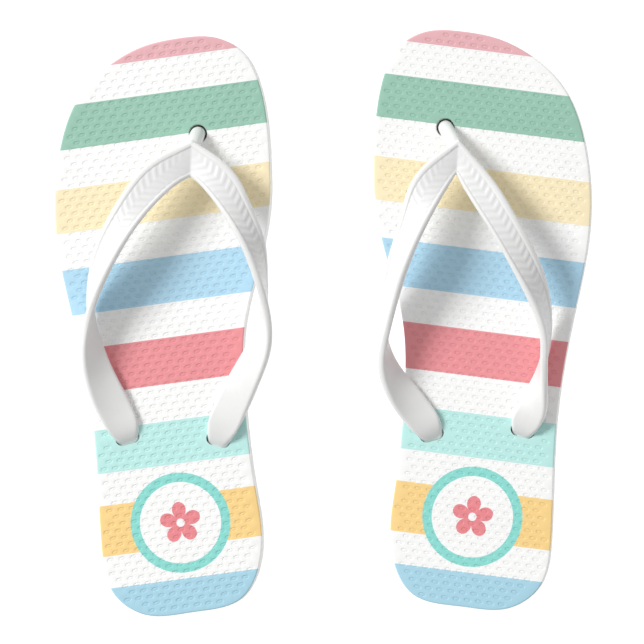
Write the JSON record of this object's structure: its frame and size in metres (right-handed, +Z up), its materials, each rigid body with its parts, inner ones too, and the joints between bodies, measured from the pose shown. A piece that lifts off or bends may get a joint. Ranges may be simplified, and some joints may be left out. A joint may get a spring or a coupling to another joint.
{
  "type": "flip flop",
  "caption": "Pair of flat flip flops with a slim moulded rubber V strap, a toe post and a striped, textured footbed.",
  "frame": {"origin": "on the ground, at the middle of the pair's bounding box", "axes": "+Y towards the toes, +X towards the wearer's right, +Z up"},
  "size_m": [0.2466, 0.2692, 0.0404],
  "materials": {
    "footbed_print": "matte, fine raised grain, printed",
    "midsole_foam": "matte closed-cell foam, cut edge",
    "outsole_rubber": "matte moulded rubber",
    "strap_rubber": "satin moulded rubber"
  },
  "bodies": {
    "left_shoe": {"left_footbed": "footbed_print", "left_midsole": "midsole_foam", "left_outsole": "outsole_rubber", "left_strap": "strap_rubber"},
    "right_shoe": {"right_footbed": "footbed_print", "right_midsole": "midsole_foam", "right_outsole": "outsole_rubber", "right_strap": "strap_rubber"}
  },
  "joints": [
    {"name": "right_shoe_lift", "type": "slide", "parent": "left_shoe", "child": "right_shoe", "axis": [0, 0, 1], "range_m": [0, 0.15]}
  ]
}
